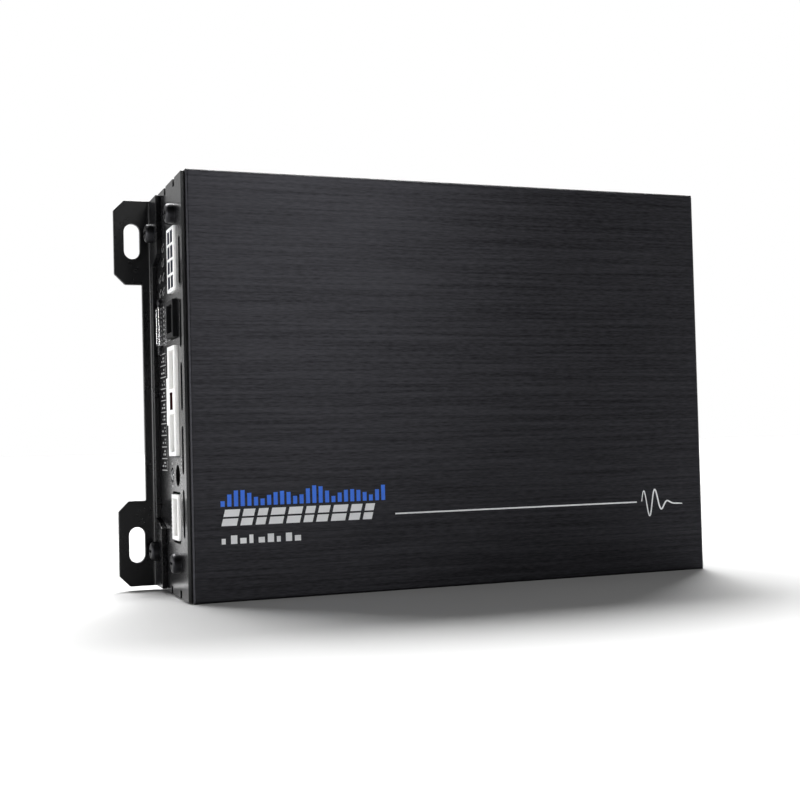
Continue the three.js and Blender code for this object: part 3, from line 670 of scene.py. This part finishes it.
# Base plate: sheet steel, cut flat and painted satin black, that closes the open back of the heat
# sink. Four countersunk screws hold it.
painted_sheet = finish(
    "satin black paint on sheet",
    tones=[(0.005, 0.005, 0.0056), (0.01, 0.01, 0.011)],
    rough=(0.17, 0.25),
    metal=0.0,
    fine=(1500.0, 1500.0, 1500.0),
    broad=(90.0, 90.0, 90.0),
    depth=4e-6,
    edge=((0.05, 0.05, 0.05), 0.00012, 0.15),
    dust=0.04,
)
dress(rounded_copy("base_plate", "rear_cover", 0.15 * MM), painted_sheet)

# End plates: sheet steel cut to the outline of the heat sink and painted satin black, with five
# vent slots near the face. The one on the socket end has a hole for each socket and grey print.
# Painted shade: the walls of the vent slots and socket holes are made near black and dull, for the shade in
# the openings.
painted_opening_shade = finish(
    "painted shade on the cut edges of the sheet",
    tones=[(0.001, 0.001, 0.001), (0.003, 0.003, 0.003)],
    rough=(0.6, 0.8),
    metal=0.0,
    fine=(1500.0, 1500.0, 1500.0),
    broad=(200.0, 200.0, 200.0),
    depth=4e-6,
    dust=0.0,
    Specular_IOR_Level=0.1,
)
edge_margin = 4.0 * MM
for side, name in (("left", "socket_end_plate"), ("right", "plain_end_plate")):
    end_plate = rounded_copy(f"{side}_end_plate", name, 0.12 * MM)
    dress(end_plate, painted_sheet)
    end_plate.data.materials.append(painted_opening_shade)
    low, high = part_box(f"{side}_end_plate")
    # Faces inside the plate's outline that face sideways take the painted shade.
    for face in end_plate.data.polygons:
        spot = face.center
        inside = all(low[axis] + edge_margin < spot[axis] < high[axis] - edge_margin for axis in (1, 2))
        face.material_index = int(inside and abs(face.normal.x) < 0.5)

grey_ink = finish(
    "grey print",
    tones=[(0.16, 0.16, 0.16), (0.34, 0.34, 0.34)],
    rough=(0.4, 0.6),
    metal=0.0,
    fine=(4000.0, 4000.0, 4000.0),
    broad=(700.0, 700.0, 700.0),
    depth=1e-6,
    dust=0.0,
)


def printed(name, patches, origin, across, out, thickness=0.02):
    """Flat ink on a face: each patch, an outline of (across, up) points in millimetres from origin, is
    carried out of the face by the thickness of the ink, with half of it in the face."""
    across, out = np.asarray(across, float), np.asarray(out, float)
    corners, faces, first = [], [], 0
    for patch in patches:
        patch = np.asarray(patch, float)
        count = len(patch)
        flat = patch[:, :1] * across + patch[:, 1:] * np.array([0.0, 0.0, 1.0])
        for level in (-thickness / 2, thickness / 2):
            corners.append(flat + level * out + np.asarray(origin, float))
        low = np.arange(count) + first
        high = low + count
        faces += np.stack([low, np.roll(low, -1), np.roll(high, -1), high], axis=-1).tolist()
        faces += [low[::-1].tolist(), high.tolist()]
        first += 2 * count
    return new_piece(name, np.concatenate(corners) * MM, faces)


def bar(left, low, width, height, lean=0.0):
    """A bar from its lower left corner, its top shifted sideways by lean."""
    right, top = left + width, low + height
    return [(left, low), (right, low), (right + lean, top), (left + lean, top)]


def ribbon(u, v, width):
    """A line of that width through the points (u, v): each side is the line moved by half the width along
    its normal."""
    slope = np.column_stack([np.gradient(u), np.gradient(v)])
    normal = np.column_stack([-slope[:, 1], slope[:, 0]]) / np.linalg.norm(slope, axis=1)[:, None]
    line, half = np.column_stack([u, v]), np.asarray(width, float).reshape(-1, 1) / 2 * normal
    return np.concatenate([line + half, (line - half)[::-1]])


plate_face = reach("left_end_plate", 0)[0]
marks = []
# Chevrons beside the power header, one row to each row of contacts; the far column stops where the
# bracket covers the plate.
chevron_columns, first_chevron, chevron_line, bracket_clear = (6.4, 11.6), 3.9, 0.28, 95
power_top = reach("power_header", 2)[1]
for row in range(4):
    for column, y in enumerate(chevron_columns):
        z = power_top - first_chevron - row * power_pitch
        if column == 0 or z < bracket_clear:
            across = np.array([y, y + 1.6, y + 0.4, y + 2.2])
            up = np.array([z + 1.4, z + 0.7, z, z - 0.9])
            marks += [ribbon(across, up, chevron_line), bar(y + 2.9, z - 0.6, 0.4, 1.3)]
# A ruled grid beside the harness header, with short bars in each of its rows.
grid_low, grid_high, grid_left, grid_width, grid_line = 35.4, 69.2, 7.0, 8.2, 0.28
grid_rows = np.linspace(grid_low, grid_high, 11)
marks += [bar(grid_left, z - grid_line / 2, grid_width, grid_line) for z in grid_rows]
for row, z in enumerate(grid_rows[:-1]):
    marks += [
        bar(grid_left, z + 0.5, 0.22, 2.2),
        bar(9.0, z + 0.95, 1.4 + 0.9 * math.sin(row * 1.7), 0.5),
        bar(12.0, z + 0.95, 1.5 + 0.8 * math.cos(row * 2.3), 0.5),
        bar(9.3, z + 1.9, 1.8 + 0.9 * math.cos(row * 1.3), 0.5),
    ]
# Columns of short bars by the data port, the remote header and the gain control.
bar_columns = [
    dict(left=8.2, low=72.0, high=82.4, pitch=1.3, width=0.9, height=0.55),
    dict(left=1.6, low=17.6, high=27.0, pitch=1.2, width=0.7, height=0.6),
    dict(left=-14.2, low=29.6, high=40.4, pitch=1.1, width=0.7, height=0.5),
]
for column in bar_columns:
    for z in np.arange(column["low"], column["high"], column["pitch"]):
        marks.append(bar(column["left"], z, column["width"], column["height"]))
# Ticks round the gain control, and a bar above and below the status light.
tick_from, tick_to, tick_half = 3.5, 4.4, 0.16
light_bar_width, light_bar_height = 1.8, 0.5
tick_corners = [(tick_from, -tick_half), (tick_to, -tick_half), (tick_to, tick_half), (tick_from, tick_half)]
for turn in np.radians(np.arange(-130, 131, 26)):
    away = np.array([math.sin(turn), math.cos(turn)])
    beside = np.array([math.cos(turn), -math.sin(turn)])
    marks.append([np.array([gain_y, gain_z]) + away * far + beside * wide for far, wide in tick_corners])
for z in (37.4, 31.0):
    left, low = light_y - light_bar_width / 2, z - light_bar_height / 2
    marks.append(bar(left, low, light_bar_width, light_bar_height))
socket_labels = printed("socket_labels", marks, (plate_face, 0, 0), (0, 1, 0), (-1, 0, 0))
dress(socket_labels, grey_ink)

# Mounting brackets: steel angles with two slotted ears each, stamped, bent and coated black. Each
# is held to the end of the heat sink, over the end plate, by the two rear end screws.
coated = finish(
    "black coated steel",
    tones=[(0.002, 0.002, 0.0023), (0.005, 0.005, 0.006)],
    rough=(0.24, 0.34),
    metal=0.0,
    fine=(900.0, 900.0, 900.0),
    broad=(80.0, 80.0, 80.0),
    depth=5e-6,
    edge=((0.05, 0.05, 0.05), 0.00015, 0.2),
    dust=0.0,
    Specular_IOR_Level=0.25,
)
for side in ("left", "right"):
    dress(
        rounded_copy(f"{side}_mounting_bracket", f"{side}_bracket", 0.25 * MM, steps=3, split=False),
        coated,
    )

# Screws: cross-recessed steel, zinc plated and passivated black. Pan heads hold the end plates and
# brackets; flush heads hold the base plate; two small ones hold the data port.
black_zinc = finish(
    "black passivated zinc",
    tones=[(0.012, 0.012, 0.014), (0.035, 0.035, 0.038)],
    rough=(0.34, 0.48),
    metal=0.9,
    fine=(2200.0, 2200.0, 2200.0),
    broad=(400.0, 400.0, 400.0),
    depth=5e-6,
    edge=((0.3, 0.3, 0.31), 0.0002, 0.4),
    dust=0.03,
)
pan_width, pan_height, shank_width, shank_length = 5.6, 2.4, 2.9, 9.0
pan_cross = (2, 0.7, 1.55, 1.2)
pan_outline = np.concatenate(
    [
        domed(pan_width, pan_height, 5.0, rings=32),
        [(shank_width / 2, 0), (shank_width / 2, -shank_length), (0, -shank_length)],
    ]
)
for node in [n for n in nodes if n.startswith(("left_", "right_")) and n.endswith("_screw")]:
    side = -1 if node.startswith("left") else 1
    low, high = reach(node, 0)
    _, screw_y, screw_z = middle(node)
    rest = low + pan_height if side < 0 else high - pan_height
    made = turned(
        node.replace("_screw", "_pan_screw"),
        node,
        pan_outline,
        (rest, screw_y, screw_z),
        (side, 0, 0),
        pan_cross,
    )
    dress(made, black_zinc)
flush_flat, flush_rim, flush_edge, flush_cone, flush_length = 2.5, 2.6, 0.08, 1.15, 6.5
flush_cross = (2, 0.7, 1.5, 1.1)
flush_outline = [(radius, 0) for radius in np.linspace(0, flush_flat, 30)]
flush_outline += [
    (flush_rim, -flush_edge),
    (shank_width / 2, -flush_cone),
    (shank_width / 2, -flush_length),
    (0, -flush_length),
]
for number in (1, 2, 3, 4):
    screw_x, _, screw_z = middle(f"base_screw_{number}")
    back = reach(f"base_screw_{number}", 1)[1]
    made = turned(
        f"flush_screw_{number}",
        f"base_screw_{number}",
        flush_outline,
        (screw_x, back, screw_z),
        (0, 1, 0),
        flush_cross,
    )
    dress(made, black_zinc)
small_width, small_height, small_shank, small_length = 2.4, 1.0, 0.7, 3.0
small_cross = (2, 0.35, 0.75, 0.5)
small_outline = np.concatenate(
    [
        domed(small_width, small_height, 4.0, rings=20),
        [(small_shank, 0), (small_shank, -small_length), (0, -small_length)],
    ]
)
for level in ("upper", "lower"):
    node = f"data_port_screw_{level}"
    _, screw_y, screw_z = middle(node)
    place = (reach(node, 0)[0] + small_height, screw_y, screw_z)
    made = turned(f"data_screw_{level}", node, small_outline, place, (-1, 0, 0), small_cross)
    dress(made, black_zinc)

# Face plate: brushed aluminium, anodised black with a faint blue cast, its edges bevelled, bonded
# to the front of the heat sink. The brush lines run along its length.
brushed = finish(
    "brushed black anodised aluminium",
    tones=[(0.009, 0.009, 0.0102), (0.041, 0.041, 0.0462)],
    rough=(0.34, 0.46),
    metal=1.0,
    fine=(420.0, 3000.0, 3000.0),
    broad=(26.0, 1400.0, 1400.0),
    depth=6e-6,
    edge=((0.12, 0.12, 0.125), 0.00012, 0.35),
    Anisotropic=0.75,
)
ink_room = 0.04 * MM
face_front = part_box("face_plate")[0].y


def set_back(corner):
    """The front moved back by the room for the print, so that the print stays inside the plate's box."""
    return Vector((corner.x, max(corner.y, face_front + ink_room), corner.z))


face_plate = rounded_copy("face_plate", "brushed_face", 0.12 * MM, shift=set_back, limit=20)
brush_scale = 5
brush_map = face_plate.data.uv_layers.new(name="brush")
loops = face_plate.data.loops
corner_of = np.zeros(len(loops), np.int32)
loops.foreach_get("vertex_index", corner_of)
places = np.zeros(len(face_plate.data.vertices) * 3, np.float32)
face_plate.data.vertices.foreach_get("co", places)
across_brush = places.reshape(-1, 3)[corner_of][:, [2, 0]]
brush_map.data.foreach_set("uv", (across_brush * brush_scale).ravel())
tree = brushed.node_tree
along_brush = put(tree, "Tangent", direction_type="UV_MAP", uv_map="brush")
tree.links.new(along_brush.outputs["Tangent"], tree.nodes["Principled BSDF"].inputs["Tangent"])
dress(face_plate, brushed)

# Print on the face plate: level bars in blue, slanted blocks, a row of small blocks, a fine rule
# and a wave in silver, all screen printed in opaque ink in the lower part of the face.
blue_ink = finish(
    "blue print",
    tones=[(0.02, 0.13, 0.68), (0.03, 0.19, 0.86)],
    rough=(0.35, 0.5),
    metal=0.0,
    fine=(4000.0, 4000.0, 4000.0),
    broad=(300.0, 300.0, 300.0),
    depth=1e-6,
    dust=0.0,
)
silver_ink = finish(
    "silver print",
    tones=[(0.7, 0.71, 0.73), (0.88, 0.89, 0.9)],
    rough=(0.3, 0.42),
    metal=0.1,
    fine=(6000.0, 6000.0, 6000.0),
    broad=(120.0, 120.0, 120.0),
    depth=2e-6,
    dust=0.0,
)
face_ink = dict(
    origin=(0, (face_front + ink_room) / MM, 0), across=(1, 0, 0), out=(0, -1, 0), thickness=0.05
)
level_count, level_left, level_low, level_pitch, level_width = 26, -72.3, 25.7, 1.84, 1.15
step = np.arange(level_count)
rise = 1.5 + 3.4 * np.abs(np.sin(step * 0.55)) * (0.55 + 0.45 * np.cos(step * 0.23) ** 2)
levels = [bar(level_left + level_pitch * i, level_low, level_width, high) for i, high in enumerate(rise)]
dress(printed("level_bars", levels, **face_ink), blue_ink)
block_count, block_left, block_gap, block_height, block_lean = 10, -72.2, 1.0, 1.95, 0.5
widths = 2.6 + 1.6 * np.cos(np.arange(block_count) * 0.9) ** 2
starts = block_left + np.concatenate([[0], np.cumsum(widths + block_gap)[:-1]])
blocks = [
    bar(start + shift, low, width, block_height, block_lean)
    for start, width in zip(starts, widths)
    for low, shift in ((20.5, 0), (22.95, 0.6))
]
dress(printed("slanted_blocks", blocks, **face_ink), silver_ink)
small_count, small_low, small_pitch = 9, 15.6, 2.55
smalls = [
    bar(block_left + small_pitch * i, small_low, 1.75 if i % 3 else 1.1, 2.3 if i % 2 else 1.5)
    for i in range(small_count)
]
dress(printed("small_blocks", smalls, **face_ink), silver_ink)
rule_left, rule_low, rule_length, rule_height = -22.2, 21.5, 78.8, 0.42
rule = bar(rule_left, rule_low, rule_length, rule_height)
dress(printed("fine_rule", [rule], **face_ink), silver_ink)
# The wave is a sine under a bell curve, on a baseline that falls slowly.
wave_left, wave_level, wave_length, wave_height, wave_fall, wave_turns = 58.4, 21.9, 14.4, 4.4, 1.2, 3.2
along = np.linspace(0, 1, 90)
bell = np.exp(-(((along - 0.22) / 0.3) ** 2))
swing = wave_height * bell * np.sin(2 * np.pi * wave_turns * along**0.85)
wave = ribbon(
    wave_left + wave_length * along,
    wave_level + (swing - wave_fall * along),
    0.28 + 0.2 * np.sin(np.pi * along),
)
dress(printed("wave_mark", [wave], **face_ink), silver_ink)

# Studio: a wide pale floor under a white sky. Soft boxes stand at the left, in front and at the
# right, and three broad overhead lights lean in from behind.
floor_mesh = bpy.data.meshes.new("studio_floor")
span, floor_tone = 6.0, 0.42
floor_mesh.from_pydata(
    [(-span, -span, 0), (span, -span, 0), (span, span, 0), (-span, span, 0)], [], [(0, 1, 2, 3)]
)
floor = bpy.data.objects.new("studio_floor", floor_mesh)
bpy.context.scene.collection.objects.link(floor)
pale = bpy.data.materials.new("pale studio floor")
pale.use_nodes = True
matt = pale.node_tree.nodes["Principled BSDF"]
matt.inputs["Base Color"].default_value = (floor_tone, floor_tone, floor_tone, 1)
matt.inputs["Roughness"].default_value = 0.9
floor.data.materials.append(pale)


def soft_light(name, place, target, size, watts):
    """A soft box of that width and height at a place, facing a target."""
    data = bpy.data.lights.new(name, "AREA")
    data.shape, data.energy = "RECTANGLE", watts
    data.size, data.size_y = size
    lamp = bpy.data.objects.new(name, data)
    lamp.location = place
    lamp.rotation_euler = (Vector(target) - Vector(place)).to_track_quat("-Z", "Y").to_euler()
    bpy.context.scene.collection.objects.link(lamp)


soft_light("left box", (-1.0, -0.05, 0.09), (-0.08, 0, 0.06), (0.5, 0.18), 5.0)
soft_light("front box", (0.21, -0.88, 0.5), (0, 0, 0.06), (0.34, 0.22), 2.8)
soft_light("right box", (0.76, -0.72, 0.38), (0, 0, 0.06), (0.2, 0.2), 0.6)
overhead_energy, overhead_spread, overhead_lean = 11.5, math.radians(28), 0.82
for sideways, share in ((-0.35, 0.3), (0.1, 0.28), (0.45, 0.42)):
    overhead = bpy.data.lights.new("overhead", "SUN")
    overhead.energy, overhead.angle = overhead_energy * share, overhead_spread
    overhead_lamp = bpy.data.objects.new("overhead", overhead)
    toward = Vector((-sideways, -overhead_lean, -1))
    overhead_lamp.rotation_euler = toward.to_track_quat("-Z", "Y").to_euler()
    bpy.context.scene.collection.objects.link(overhead_lamp)

studio = bpy.data.worlds.new("studio")
studio.use_nodes = True
sky = studio.node_tree
sky.nodes.clear()
way = put(sky, "SeparateXYZ", {0: put(sky, "TexCoord").outputs["Generated"]})
behind = put(
    sky,
    "MapRange",
    {"Value": way.outputs["Y"], "From Min": 0.0, "From Max": 0.9, "To Min": 0.03, "To Max": 0.5},
    interpolation_type="SMOOTHSTEP",
)
seen = put(sky, "Background", {"Color": (1, 1, 1, 1), "Strength": 1.0})
around = put(sky, "Background", {"Color": (1, 1, 1, 1), "Strength": behind.outputs["Result"]})
ray = put(sky, "LightPath")
either = put(
    sky, "MixShader", {0: ray.outputs["Is Camera Ray"], 1: around.outputs[0], 2: seen.outputs[0]}
)
put(sky, "OutputWorld", {"Surface": either.outputs[0]})
bpy.context.scene.world = studio
bpy.context.scene.view_settings.view_transform = "Standard"

eye = bpy.data.cameras.new("eye")
eye.lens, eye.sensor_width = 56.53, 36.0
eye.clip_start, eye.clip_end = 0.01, 50.0
camera = bpy.data.objects.new("eye", eye)
camera.location = (-0.14745, -0.3555, 0.04256)
camera.rotation_euler = Euler([math.radians(turn) for turn in (91.809, 1.436, -20.88)])
bpy.context.scene.collection.objects.link(camera)
bpy.context.scene.camera = camera
